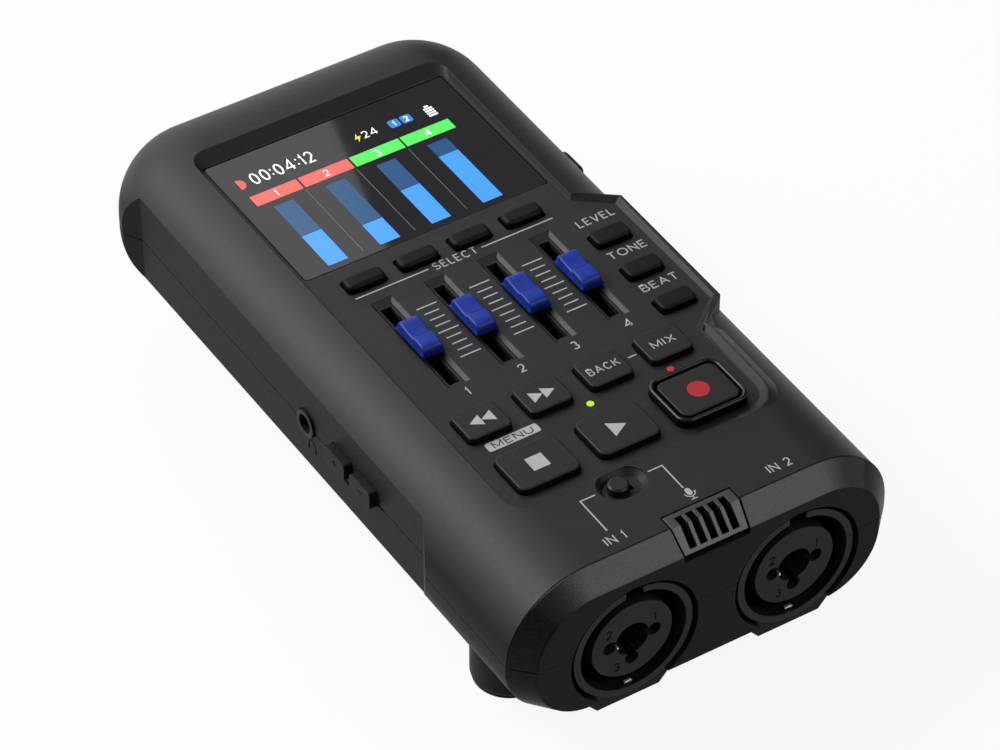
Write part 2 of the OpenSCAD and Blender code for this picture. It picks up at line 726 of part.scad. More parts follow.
module power_knob() color(dark_c) translate([half_w, power_y, power_z]) {
    rotate([0, 90, 0]) round_block([power_size[1], power_size[0]], 1, [0.15, power_out - 0.4]);
    rotate([0, 90, 0]) round_block([power_size[1] - 0.8, power_size[0] - 0.8], 0.7, [power_out - 0.4, power_out]);
    box([-4, 0.3], [-power_stem[0] / 2, power_stem[0] / 2], [-power_stem[1] / 2, power_stem[1] / 2]);
}

module power_switch() color(metal_c)
    box([half_w - 8, half_w - 4.1], [power_y - 5, power_y + 5], [main_top, power_z + 1.6]);

module usb_socket() color(metal_c) translate([half_w - 8.5, usb_y, usb_z]) rotate([0, 90, 0]) {
    difference() {
        round_block([usb_size[1], usb_size[0]], usb_size[1] / 2 - 0.05, [0, 8]);
        round_block([usb_size[1] - 0.6, usb_size[0] - 0.6], usb_size[1] / 2 - 0.35, [1.5, 9]);
    }
    round_block([0.7, 6.7], 0.3, [1, 7]);
}

module card_socket() color(metal_c) translate([0, card_y, main_top]) difference() {
    box([half_w - 1 - card_depth, half_w - 1], [-card_size[0] / 2, card_size[0] / 2], [0, card_size[1]]);
    box([half_w + 1 - card_depth, half_w], [-card_slot[0] / 2, card_slot[0] / 2], [0.4, 0.4 + card_slot[1]]);
}

// Underside

module battery_door() color(body_c) difference() {
    union() {
        box([-door_half, door_half], [bulge_y[0], door_y1], [pad_t, pad_t + door_t]);
        box([-door_half - tongue, door_half + tongue], [bulge_y[0] + 3, door_y1], [pad_t + door_t - tongue_t, pad_t + door_t]);
    }
    for (i = [0:3]) box([-7, 7], [bulge_y[0] + 5 + i * 2, bulge_y[0] + 6 + i * 2], [0, pad_t + 0.5]);
}

module battery_cells() color([0.75, 0.75, 0.72]) for (i = [0:3])
    translate([0, cell_y - i * cell_pitch, cell_z]) rotate([0, i % 2 == 0 ? 90 : -90, 0]) {
        translate([0, 0, -cell_l / 2 - nub_h / 2]) cylinder(r = cell_r, h = cell_l);
        translate([0, 0, cell_l / 2 - nub_h / 2]) cylinder(r = nub_r, h = nub_h);
    }

module battery_contacts() color(metal_c) for (i = [0:3])
    translate([0, cell_y - i * cell_pitch, cell_z]) rotate([0, i % 2 == 0 ? 90 : -90, 0]) {
        reach = cell_l / 2 + nub_h / 2;
        translate([-contact_w / 2, -contact_w / 2, reach]) cube([contact_w, contact_w, bay_half - reach]);
        translate([-contact_w / 2, -contact_w / 2, -bay_half]) cube([contact_w, contact_w, contact_t]);
        translate([0, 0, contact_t - bay_half]) cylinder(r1 = 4, r2 = 2.5, h = bay_half - reach - contact_t);
    }

module rubber_feet() color([0.06, 0.06, 0.06]) for (s = [-1, 1]) {
    translate([s * leg_at[0], leg_at[1], 0]) {
        cylinder(r1 = foot_r - 0.5, r2 = foot_r, h = 0.5);
        translate([0, 0, 0.5]) cylinder(r = foot_r, h = pad_t - 0.5);
    }
    translate([s * (bulge_half[2] - rear_pad[0] / 2), bulge_y[1] - 1.2 - rear_pad[1] / 2, 0])
        round_block(rear_pad, 2, [0, pad_t]);
}

module case_screws() color(metal_c) for (p = screw_at, s = [-1, 1])
    translate([s * p[0], p[1], belly_z + screw_head_h + 0.6]) difference() {
        union() {
            translate([0, 0, -screw_head_h]) cylinder(r = screw_head_r, h = screw_head_h);
            cylinder(r = screw_r, h = screw_l);
        }
        for (a = [0, 90]) rotate([0, 0, a]) box([-1.2, 1.2], [-0.25, 0.25], [-screw_head_h - 1, -screw_head_h + 0.8]);
    }

top_case();
bottom_case();
front_bezel_upper();
front_bezel_lower();
mic_grille();
mic_capsules();
display_window();
display_module();
control_board();
main_board();
fader_unit(0);  // fader_unit_1
fader_unit(1);  // fader_unit_2
fader_unit(2);  // fader_unit_3
fader_unit(3);  // fader_unit_4
fader_lever(0);  // fader_lever_1
fader_lever(1);  // fader_lever_2
fader_lever(2);  // fader_lever_3
fader_lever(3);  // fader_lever_4
fader_cap(0);  // fader_cap_1
fader_cap(1);  // fader_cap_2
fader_cap(2);  // fader_cap_3
fader_cap(3);  // fader_cap_4
select_key(0);  // select_key_1
select_key(1);  // select_key_2
select_key(2);  // select_key_3
select_key(3);  // select_key_4
function_key(0);  // function_key_upper
function_key(1);  // function_key_middle
function_key(2);  // function_key_lower
row_key(0);  // rewind_key
row_key(1);  // forward_key
row_key(2);  // undo_key
row_key(3);  // mixdown_key
key(stop_x, big_y, big_size, 1.5, key_proud);  // stop_key
key(play_x, big_y, big_size, 1.5, key_proud);  // play_key
key(record_x, big_y, record_size, 1.5, key_proud + 0.6);  // record_key
record_ring();
key_switches();
light(play_x);  // play_light
light(record_x);  // record_light
selector_knob();
selector_switch();
input_jack(jack_x[0]);  // input_jack_left
input_jack(jack_x[1]);  // input_jack_right
jack_insert(jack_x[0]);  // jack_insert_left
jack_insert(jack_x[1]);  // jack_insert_right
jack_contacts();
phones_jack();
volume_key(volume_y[0]);  // volume_up_key
volume_key(volume_y[1]);  // volume_down_key
volume_switches();
power_knob();
power_switch();
usb_socket();
card_socket();
battery_door();
battery_cells();
battery_contacts();
rubber_feet();
case_screws();
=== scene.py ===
"""Looks of the pocket multitrack recorder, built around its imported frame.

Sizes are written in millimetres and turned into metres when a mesh is made. Places come from the frame's
own boxes, so that keys, caps and prints sit where the solids are.
"""
import math

import bmesh
import bpy
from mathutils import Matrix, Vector


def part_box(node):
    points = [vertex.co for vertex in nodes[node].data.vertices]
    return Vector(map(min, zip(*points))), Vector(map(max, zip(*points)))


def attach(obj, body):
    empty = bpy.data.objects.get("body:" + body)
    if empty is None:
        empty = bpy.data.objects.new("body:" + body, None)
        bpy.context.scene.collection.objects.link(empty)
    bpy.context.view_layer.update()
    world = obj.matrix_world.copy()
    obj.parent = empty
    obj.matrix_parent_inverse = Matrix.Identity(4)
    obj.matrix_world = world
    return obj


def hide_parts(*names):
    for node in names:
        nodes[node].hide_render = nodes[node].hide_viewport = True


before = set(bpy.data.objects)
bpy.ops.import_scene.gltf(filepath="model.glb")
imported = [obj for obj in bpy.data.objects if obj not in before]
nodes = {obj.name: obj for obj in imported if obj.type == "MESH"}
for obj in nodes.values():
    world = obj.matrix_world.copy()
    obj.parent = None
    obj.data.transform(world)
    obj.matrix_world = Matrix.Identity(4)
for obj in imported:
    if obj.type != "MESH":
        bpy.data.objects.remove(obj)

MM = 0.001
scene = bpy.context.scene
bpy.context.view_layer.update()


# Places read from the frame

def span(node):
    """Lowest corner, highest corner and centre of a CAD node, in millimetres."""
    low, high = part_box(node)
    low = Vector(low) / MM
    high = Vector(high) / MM
    return low, high, (low + high) / 2


KEY_FLANGE = 0.8          # how far a key's flange reaches past its sides, left and right
PANEL_Z = span("display_window")[1].z
FRONT_Y = span("front_bezel_upper")[0].y
TOP_TILT = math.radians(0.75)
TRACKS = [span(f"fader_cap_{i}")[2].x for i in range(1, 5)]
FADER_Y = span("fader_cap_1")[2].y
PRINT_T = 0.02            # thickness of printed marks


# Materials

def linear(r, g, b):
    """An sRGB colour from 0 to 255 as linear RGBA."""
    def channel(c):
        c /= 255
        return c / 12.92 if c <= 0.04045 else ((c + 0.055) / 1.055) ** 2.4
    return (channel(r), channel(g), channel(b), 1)


def shade(colour, factor):
    """A colour made lighter or darker."""
    return tuple(min(c * factor, 1) for c in colour[:3]) + (1,)


def noise(tree, coords, scale, detail=3, roughness=0.6):
    """Adds a noise texture and gives its value."""
    node = tree.nodes.new("ShaderNodeTexNoise")
    node.inputs["Scale"].default_value = scale
    node.inputs["Detail"].default_value = detail
    node.inputs["Roughness"].default_value = roughness
    tree.links.new(coords, node.inputs["Vector"])
    return node.outputs["Fac"]


def remap(tree, value, low, high, start=0.3, end=0.7):
    """Turns a value from start to end into one from low to high."""
    node = tree.nodes.new("ShaderNodeMapRange")
    tree.links.new(value, node.inputs["Value"])
    node.inputs["From Min"].default_value = start
    node.inputs["From Max"].default_value = end
    node.inputs["To Min"].default_value = low
    node.inputs["To Max"].default_value = high
    return node.outputs["Result"]


def shaded_front(tree, coords, colour, front_shade_colour):
    """A darker colour painted on the flat front face as painted shade, and behind it the colour of the
    grainy band.
    """
    place = tree.nodes.new("ShaderNodeSeparateXYZ")
    tree.links.new(coords, place.inputs["Vector"])
    face_end = FRONT_Y + 0.05
    band_start = FRONT_Y + 0.35
    on_band = remap(tree, place.outputs["Y"], 0, 1, face_end * MM, band_start * MM)
    painted_shade = tree.nodes.new("ShaderNodeMix")
    painted_shade.data_type = "RGBA"
    tree.links.new(on_band, painted_shade.inputs["Factor"])
    painted_shade.inputs["A"].default_value = front_shade_colour
    tree.links.new(colour, painted_shade.inputs["B"])
    return painted_shade.outputs["Result"]


def matte_shaded_sides(tree, shader, colour, specular, painted_shade, rise):
    """Less gloss on faces that look sideways, and a darker colour painted on them as painted shade. rise is
    how far up a glossy face looks.
    """
    place = tree.nodes.new("ShaderNodeSeparateXYZ")
    tree.links.new(tree.nodes.new("ShaderNodeNewGeometry").outputs["Normal"], place.inputs["Vector"])
    upward = place.outputs["Z"]
    fade_start = rise - 0.25
    top_specular = shader.inputs["Specular IOR Level"].default_value
    gloss = remap(tree, upward, specular, top_specular, fade_start, rise)
    tree.links.new(gloss, shader.inputs["Specular IOR Level"])
    shade_scale = tree.nodes.new("ShaderNodeVectorMath")
    shade_scale.operation = "SCALE"
    tree.links.new(colour, shade_scale.inputs[0])
    tree.links.new(remap(tree, upward, painted_shade, 1, fade_start, rise), shade_scale.inputs["Scale"])
    return shade_scale.outputs["Vector"]


def material(name, colour, rough, vary=0.08, rough_vary=0.04, patch=2.0, grain=0.3, bump=0.25,
             bump_depth=0.02, edge=0.0, metallic=0.0, specular=0.5, glow=0.0, front=None, sideways_gloss_and_shade=None):
    """A moulded surface: mottled colour, uneven gloss and a fine grain, from the object's own coordinates.

    patch is the size of the mottling and grain that of the bumps, in millimetres. edge softens sharp edges.
    front, if given, is a darker colour painted on the flat front face as painted shade. sides holds the
    specular level, the tone of the painted shade and the rise of faces that look sideways.
    """
    mat = bpy.data.materials.new(name)
    mat.use_nodes = True
    tree = mat.node_tree
    shader = tree.nodes["Principled BSDF"]
    coords = tree.nodes.new("ShaderNodeTexCoord").outputs["Object"]
    shader.inputs["Metallic"].default_value = metallic
    shader.inputs["Specular IOR Level"].default_value = specular

    mottle = noise(tree, coords, 1 / (patch * MM), detail=5)
    mix = tree.nodes.new("ShaderNodeMix")
    mix.data_type = "RGBA"
    tree.links.new(remap(tree, mottle, 0, 1), mix.inputs["Factor"])
    mix.inputs["A"].default_value = shade(colour, 1 - vary)
    mix.inputs["B"].default_value = shade(colour, 1 + vary)
    base = mix.outputs["Result"]
    if front:
        base = shaded_front(tree, coords, base, front)
    if sideways_gloss_and_shade:
        base = matte_shaded_sides(tree, shader, base, *sideways_gloss_and_shade)
    tree.links.new(base, shader.inputs["Base Color"])

    gloss = noise(tree, coords, 1 / (patch * 0.35 * MM), detail=4)
    tree.links.new(remap(tree, gloss, rough - rough_vary, rough + rough_vary), shader.inputs["Roughness"])

    speckle = noise(tree, coords, 1 / (grain * MM), detail=2)
    bumps = tree.nodes.new("ShaderNodeBump")
    bumps.inputs["Strength"].default_value = bump
    bumps.inputs["Distance"].default_value = bump_depth * MM
    tree.links.new(speckle, bumps.inputs["Height"])
    if edge > 0:
        bevel = tree.nodes.new("ShaderNodeBevel")
        bevel.samples = 4
        bevel.inputs["Radius"].default_value = edge * MM
        tree.links.new(bevel.outputs["Normal"], bumps.inputs["Normal"])
    tree.links.new(bumps.outputs["Normal"], shader.inputs["Normal"])

    if glow > 0:
        tree.links.new(mix.outputs["Result"], shader.inputs["Emission Color"])
        shader.inputs["Emission Strength"].default_value = glow
    return mat


# Specular level, tone of the painted shade and rise of faces that look sideways
MATTE_SHADED = (0.05, 0.85, 0.55)
SHARP_SHADED = (0.05, 0.5, 0.75)

# Where sides are given, a tone below 1 darkens the sideways faces as painted shade.
case_plastic = material("case_plastic", linear(38, 38, 40), 0.5, grain=0.35, bump=0.35, edge=0.25,
                        specular=0.28, sideways_gloss_and_shade=MATTE_SHADED)
# A lighter copy of the case plastic, as painted highlight on the fader pocket walls.
pocket_wall_highlight_plastic = material("pocket_wall_highlight_plastic", linear(46, 46, 48), 0.48, grain=0.35, bump=0.35, edge=0.2,
                       specular=0.4)
# A lighter copy of the case plastic, as painted highlight on the rim's bevel.
rim_bevel_highlight_plastic = material("rim_bevel_highlight_plastic", linear(46, 46, 48), 0.46, grain=0.35, bump=0.35, edge=0.15,
                         specular=0.18)
# The band's front colour is a darker colour painted on the flat front face, as painted shade.
band_plastic = material("band_plastic", linear(40, 40, 41), 0.38, vary=0.5, patch=0.4, grain=0.2, bump=1.0,
                        bump_depth=0.06, edge=0.25, specular=1.0, front=linear(24, 24, 25), sideways_gloss_and_shade=SHARP_SHADED)
grille_plastic = material("grille_plastic", linear(40, 40, 41), 0.38, vary=0.3, patch=0.5, grain=0.22,
                          bump=0.7, edge=0.2, specular=1.0, sideways_gloss_and_shade=SHARP_SHADED)
key_rubber = material("key_rubber", linear(40, 40, 42), 0.45, grain=0.25, bump=0.3, specular=0.2,
                      sideways_gloss_and_shade=(0.05, 0.35, 0.6))
soft_rubber = material("soft_rubber", linear(19, 19, 21), 0.55, grain=0.25, bump=0.3, specular=0.16,
                       sideways_gloss_and_shade=(0.05, 0.5, 0.6))
ring_plastic = material("ring_plastic", linear(20, 20, 22), 0.3, grain=0.4, bump=0.1, specular=0.4,
                        sideways_gloss_and_shade=(0.03, 0.5, 0.4))
knob_plastic = material("knob_plastic", linear(28, 28, 30), 0.42, edge=0.25, specular=0.35,
                        sideways_gloss_and_shade=(0.05, 1.0, 0.5))
lever_plastic = material("lever_plastic", linear(12, 12, 13), 0.4, edge=0.15, specular=0.2)
jack_plastic = material("jack_plastic", linear(30, 30, 32), 0.45, bump=0.25, edge=0.25, specular=0.12)
insert_plastic = material("insert_plastic", linear(36, 36, 38), 0.5, grain=0.25, bump=0.3, edge=0.2,
                          specular=0.1)
cap_plastic = material("cap_plastic", linear(24, 52, 152), 0.42, vary=0.1, bump=0.12, specular=0.3,
                       sideways_gloss_and_shade=(0.1, 0.75, 0.5))
cap_shadow = material("cap_shadow", linear(10, 14, 66), 0.5, specular=0.1)
glass = material("glass", linear(44, 44, 47), 0.03, rough_vary=0.01, patch=9.0, bump=0.01, specular=0.18)
board_green = material("board_green", linear(20, 70, 40), 0.4, vary=0.3, patch=3)
board_dark = material("board_dark", linear(9, 10, 10), 0.6, vary=0.3, patch=3, specular=0.2)
# Mic capsules in near black as painted shade, so that the slots of the grille look dark.
capsule_dark = material("capsule_dark", linear(10, 10, 10), 0.5, vary=0.2, specular=0.1)
steel = material("steel", linear(170, 170, 168), 0.34, metallic=1.0, grain=0.5, bump=0.15, edge=0.1)
# Steel whitened to near white and half diffuse, as painted glint on the jacks' latch and springs.
glint_steel = material("glint_steel", linear(236, 236, 232), 0.25, metallic=0.5, grain=0.5, bump=0.1)
gold = material("gold", linear(205, 165, 90), 0.28, metallic=1.0, edge=0.1)
cell_jacket = material("cell_jacket", linear(70, 72, 76), 0.32, vary=0.2, patch=9.0, edge=0.2)
foot_rubber = material("foot_rubber", linear(24, 24, 25), 0.8, grain=0.3, bump=0.5, edge=0.3, specular=0.1)
light_green = material("light_green", linear(150, 198, 44), 0.25, vary=0.05, glow=0.7)
light_red = material("light_red", linear(176, 54, 48), 0.25, vary=0.05, glow=0.2)
ink_pale = material("ink_pale", linear(178, 182, 184), 0.55, vary=0.06, patch=1.5, grain=0.12, specular=0.1)
ink_red = material("ink_red", linear(176, 56, 58), 0.5, vary=0.06, patch=1.5, grain=0.12, specular=0.1)
ink_dark = material("ink_dark", linear(38, 40, 42), 0.55, vary=0.08, patch=1.5, grain=0.12, specular=0.1)
# Near black, for prints on the left side, and as painted shade on the insert's moulded pin numbers.
ink_and_shade_black = material("ink_and_shade_black", linear(6, 6, 7), 0.6, vary=0.2, patch=1.5, grain=0.12, specular=0.02)

SLOT_LOOKS = {
    "case_plastic": case_plastic, "band_plastic": band_plastic, "window": glass, "board": board_green,
    "steel": steel, "lever_plastic": lever_plastic, "cap_plastic": cap_plastic, "key_rubber": key_rubber,
    "knob_plastic": knob_plastic, "light_green": light_green, "light_red": light_red,
    "jack_plastic": jack_plastic, "gold": gold, "cell_jacket": cell_jacket, "foot_rubber": foot_rubber,
}
NODE_LOOKS = {
    "mic_grille": grille_plastic, "mic_capsules": capsule_dark, "control_board": board_dark,
    "jack_insert_left": insert_plastic, "jack_insert_right": insert_plastic,
    "power_switch": lever_plastic,
}
for name, node in nodes.items():
    look = NODE_LOOKS.get(name) or SLOT_LOOKS[node.material_slots[0].name.split(".")[0]]
    for slot in node.material_slots:
        slot.material = look


# Mesh building

def new_piece(name, mesh_maker, mat, body, smooth=False):
    """Makes a mesh object from a bmesh in millimetres, dresses it and lets it ride on a body."""
    mesh = bpy.data.meshes.new(name)
    bm = bmesh.new()
    mesh_maker(bm)
    bmesh.ops.remove_doubles(bm, verts=bm.verts, dist=0.0005)
    bmesh.ops.recalc_face_normals(bm, faces=bm.faces)
    bmesh.ops.scale(bm, verts=bm.verts, vec=(MM, MM, MM))
    bm.to_mesh(mesh)
    bm.free()
    piece = bpy.data.objects.new(name, mesh)
    scene.collection.objects.link(piece)
    mesh.materials.append(mat)
    if smooth:
        mesh.shade_smooth()
        weighted = piece.modifiers.new("even_normals", "WEIGHTED_NORMAL")
        weighted.weight = 80
    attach(piece, body)
    return piece


def rounded_outline(width, depth, radius, steps=6):
    """Points of a rounded rectangle round the origin, anticlockwise."""
    radius = min(radius, width / 2 - 0.01, depth / 2 - 0.01)
    points = []
    for corner, (sx, sy) in enumerate(((1, 1), (-1, 1), (-1, -1), (1, -1))):
        centre = Vector((sx * (width / 2 - radius), sy * (depth / 2 - radius)))
        for i in range(steps + 1):
            angle = math.pi / 2 * (corner + i / steps)
            points.append(centre + radius * Vector((math.cos(angle), math.sin(angle))))
    return points


def loft(bm, rings):
    """Joins rings of equally many points and closes both ends."""
    rows = [[bm.verts.new(p) for p in ring] for ring in rings]
    for lower, upper in zip(rows, rows[1:]):
        for i in range(len(lower)):
            j = (i + 1) % len(lower)
            bm.faces.new((lower[i], lower[j], upper[j], upper[i]))
    bm.faces.new(list(reversed(rows[0])))
    bm.faces.new(rows[-1])


def tube(bm, rings):
    """Joins rings of equally many points, and the last ring to the first."""
    rows = [[bm.verts.new(p) for p in ring] for ring in rings]
    for this, following in zip(rows, rows[1:] + rows[:1]):
        for i in range(len(this)):
            j = (i + 1) % len(this)
            bm.faces.new((this[i], this[j], following[j], following[i]))


def rounded_block(bm, centre, width, depth, radius, bottom, top, edge, steps=6):
    """A block with rounded corners and a rounded top edge."""
    rings = []

    def ring(inset, z):
        outline = rounded_outline(width - 2 * inset, depth - 2 * inset, max(radius - inset, 0.15))
        rings.append([Vector((centre.x + p.x, centre.y + p.y, z)) for p in outline])

    ring(0, bottom)
    for i in range(steps + 1):
        angle = math.pi / 2 * i / steps
        ring(edge * (1 - math.cos(angle)), top - edge + edge * math.sin(angle))
    loft(bm, rings)


def prism(bm, points, z, thick=PRINT_T):
    """A thin closed plate on the plane z, from points in order."""
    loft(bm, [[Vector((p[0], p[1], height)) for p in points] for height in (z, z + thick)])


def ribbon(bm, points, width, z, thick=PRINT_T):
    """A printed line of even width along points, with mitred corners. It closes where its ends meet."""
    points = [Vector(p) for p in points]
    loop = (points[0] - points[-1]).length < 0.001
    if loop:
        points.pop()
    count = len(points)
    sections = []
    for i, point in enumerate(points):
        before = points[i - 1] if loop or i > 0 else None
        after = points[(i + 1) % count] if loop or i < count - 1 else None
        ahead = (after - point if after else point - before).normalized()
        behind = (point - before if before else ahead).normalized()
        side = Vector((-ahead.y - behind.y, ahead.x + behind.x)).normalized()
        side *= width / 2 / max(side.dot(Vector((-ahead.y, ahead.x))), 0.35)
        sections.append([bm.verts.new((q.x, q.y, h)) for q, h in (
            (point - side, z), (point + side, z), (point + side, z + thick), (point - side, z + thick))])
    follow = sections[1:] + sections[:1] if loop else sections[1:]
    for this, following in zip(sections, follow):
        for k in range(4):
            bm.faces.new((this[k], following[k], following[(k + 1) % 4], this[(k + 1) % 4]))
    if not loop:
        bm.faces.new(sections[0])
        bm.faces.new(list(reversed(sections[-1])))


def rectangle(bm, x0, y0, x1, y1, z, radius=0.05):
    """A thin plate between two corners."""
    centre = Vector(((x0 + x1) / 2, (y0 + y1) / 2))
    outline = rounded_outline(abs(x1 - x0), abs(y1 - y0), radius, steps=4)
    prism(bm, [centre + p for p in outline], z)


def disc(bm, x, y, radius, z, start=0.0, end=2 * math.pi, steps=40):
    """A thin round plate, or the part of one between two angles."""
    turn = end - start
    count = steps if turn >= 2 * math.pi else steps + 1
    angles = [start + turn * i / steps for i in range(count)]
    prism(bm, [(x + radius * math.cos(a), y + radius * math.sin(a)) for a in angles], z)


# Lettering, drawn with strokes of even width

def arc(cx, cy, rx, ry, start, end, steps=14):
    """Points along an ellipse, with its angles in degrees."""
    angles = [math.radians(start + (end - start) * i / steps) for i in range(steps + 1)]
    return [(cx + rx * math.cos(a), cy + ry * math.sin(a)) for a in angles]


RING = arc(0.5, 0.5, 0.5, 0.5, 90, 450, steps=32)

# Width against height, then the strokes on a square from 0 to 1
GLYPHS = {
    " ": (0.3, []),
    "0": (0.62, [RING]),
    "1": (0.26, [[(0, 0.76), (0.9, 1), (0.9, 0)]]),
    "2": (0.6, [arc(0.5, 0.71, 0.5, 0.29, 165, -38) + [(0, 0), (1, 0)]]),
    "3": (0.6, [arc(0.46, 0.76, 0.46, 0.24, 150, -90), arc(0.46, 0.26, 0.54, 0.26, 90, -150)]),
    "4": (0.76, [[(0.74, 0), (0.74, 1), (0, 0.26), (1, 0.26)]]),
    ":": (0.13, [[(0.5, 0.2), (0.5, 0.32)], [(0.5, 0.68), (0.5, 0.8)]]),
    "A": (0.86, [[(0, 0), (0.5, 1), (1, 0)], [(0.2, 0.34), (0.8, 0.34)]]),
    "B": (0.7, [[(0, 0), (0, 1), (0.6, 1)] + arc(0.6, 0.76, 0.34, 0.24, 90, -90) + [(0, 0.52)],
                [(0.55, 0.52)] + arc(0.6, 0.26, 0.4, 0.26, 90, -90) + [(0, 0)]]),
    "C": (0.82, [arc(0.52, 0.5, 0.52, 0.5, 42, 318, steps=24)]),
    "E": (0.64, [[(1, 1), (0, 1), (0, 0), (1, 0)], [(0, 0.52), (0.86, 0.52)]]),
    "I": (0.14, [[(0.5, 0), (0.5, 1)]]),
    "K": (0.76, [[(0, 0), (0, 1)], [(0.95, 1), (0, 0.38)], [(0.34, 0.6), (1, 0)]]),
    "L": (0.6, [[(0, 1), (0, 0), (1, 0)]]),
    "M": (0.9, [[(0, 0), (0, 1), (0.5, 0.16), (1, 1), (1, 0)]]),
    "N": (0.76, [[(0, 0), (0, 1), (1, 0), (1, 1)]]),
    "O": (0.94, [RING]),
    "S": (0.72, [arc(0.5, 0.75, 0.46, 0.25, 35, 270) + arc(0.5, 0.25, 0.5, 0.25, 90, -145)]),
    "T": (0.74, [[(0, 1), (1, 1)], [(0.5, 1), (0.5, 0)]]),
    "U": (0.76, [[(0, 1)] + arc(0.5, 0.36, 0.5, 0.36, 180, 360) + [(1, 1)]]),
    "V": (0.82, [[(0, 1), (0.5, 0), (1, 1)]]),
    "X": (0.8, [[(0, 0), (1, 1)], [(0, 1), (1, 0)]]),
}


def words(bm, text, x, y, height, z, width=None, align="CENTER", weight=0.125):
    """Lettering of a given height, centred on y. width stretches it to a total length."""
    stroke = weight * height
    spacing = 0.2
    natural = sum(GLYPHS[c][0] for c in text) + spacing * (len(text) - 1)
    wide = width / natural if width else height
    pen = x - natural * wide / 2 if align == "CENTER" else x
    foot = y - height / 2 + stroke / 2
    for letter in text:
        share, strokes = GLYPHS[letter]
        start = pen + stroke / 2
        across = max(share * wide - stroke, 0)
        for points in strokes:
            line = [(start + u * across, foot + v * (height - stroke)) for u, v in points]
            ribbon(bm, line, stroke, z)
        pen += (share + spacing) * wide


# Display: glass, then the picture on it

WINDOW = span("display_window")[2]

# Places on the picture, from the middle of the window
TAB_Y = (3.95, 6.8)
TAB_X = [(-21.5, -12.24), (-11.75, -1.8), (-1.33, 8.69), (9.07, 19.1)]
METER_X = [(-19.2, -15.3), (-8.8, -4.8), (1.62, 5.5), (12.1, 16.1)]
METER_Y = (-16.2, 2.35)
METER_LEVELS = [-7.15, -10.15, -5.8, -1.5]
DIVIDER_X = [-12.15, -1.75, 8.82]
STATUS_Y = 10.75
CLOCK_X = -18.9
CLOCK_SIZE = (12.6, 3.1)
COUNT_X = 5.4
COUNT_H = 1.9
BATTERY_X = (16.75, 18.5)
BATTERY_FOOT = STATUS_Y - 1.9
BATTERY_BARS = 4
BAR_H = 0.44
BAR_PITCH = 0.68
SIGN_X = (10.4, 12.9)
SIGN_HALF = 1.05
RECORD_SIGN_R = 1.35


def make_window(bm):
    low, high, centre = span("display_window")
    rounded_block(bm, centre, high.x - low.x, high.y - low.y, radius=0.7, bottom=low.z, top=high.z,
                  edge=0.2)


def screen_piece(name, maker, colour, glow=0.8):
    """Part of the picture, drawn flat round the middle of the window."""
    look = material(name, linear(*colour), 0.12, vary=0.04, rough_vary=0.03, patch=0.4, grain=0.12,
                    bump=0.02, specular=0.18, glow=glow)

    def placed(bm):
        maker(bm)
        bmesh.ops.translate(bm, verts=bm.verts, vec=(WINDOW.x, WINDOW.y, PANEL_Z))
    new_piece(name, placed, look, "body")


def make_tabs(first):
    """Two neighbouring tabs over the meters."""
    def maker(bm):
        for x0, x1 in TAB_X[first:first + 2]:
            rectangle(bm, x0, TAB_Y[0], x1, TAB_Y[1], 0)
    return maker


def make_tab_numbers(bm):
    for i, (x0, x1) in enumerate(TAB_X):
        words(bm, str(i + 1), (x0 + x1) / 2, sum(TAB_Y) / 2, 1.7, PRINT_T, weight=0.1)


def make_meter_rests(bm):
    for (x0, x1), level in zip(METER_X, METER_LEVELS):
        rectangle(bm, x0, level, x1, METER_Y[1], 0)


def make_meters(bm):
    for (x0, x1), level in zip(METER_X, METER_LEVELS):
        rectangle(bm, x0, METER_Y[0], x1, level, 0)


def make_dividers(bm):
    for x in DIVIDER_X:
        ribbon(bm, [(x, METER_Y[0] + 0.2), (x, TAB_Y[0] - 0.6)], 0.12, 0)


def make_clock(bm):
    width, height = CLOCK_SIZE
    words(bm, "00:04:12", CLOCK_X, STATUS_Y, height, 0, width=width, align="LEFT", weight=0.1)
    words(bm, "24", COUNT_X, STATUS_Y + 0.1, COUNT_H, 0, weight=0.11)


def make_battery_sign(bm):
    left, right = BATTERY_X
    for step in range(BATTERY_BARS):
        low = BATTERY_FOOT + BAR_PITCH * step
        rectangle(bm, left, low, right, low + BAR_H, 0)
    rectangle(bm, left + 0.45, STATUS_Y + 0.82, right - 0.45, STATUS_Y + 1.2, 0)


def make_bolt(bm):
    prism(bm, [(3.1, 11.9), (2.2, 10.5), (2.85, 10.5), (2.5, 9.5), (3.6, 11.0), (2.95, 11.0)], 0)


def make_record_sign(bm):
    left = TAB_X[0][0]
    disc(bm, left, STATUS_Y - 0.15, RECORD_SIGN_R, 0, -math.pi / 2, math.pi / 2, steps=20)


def make_channel_signs(bm):
    for x in SIGN_X:
        rectangle(bm, x - SIGN_HALF, STATUS_Y - 1.1, x + SIGN_HALF, STATUS_Y + 1.0, 0, radius=0.4)


def make_channel_numbers(bm):
    for i, x in enumerate(SIGN_X):
        words(bm, str(i + 1), x, STATUS_Y - 0.05, 1.4, PRINT_T, weight=0.14)


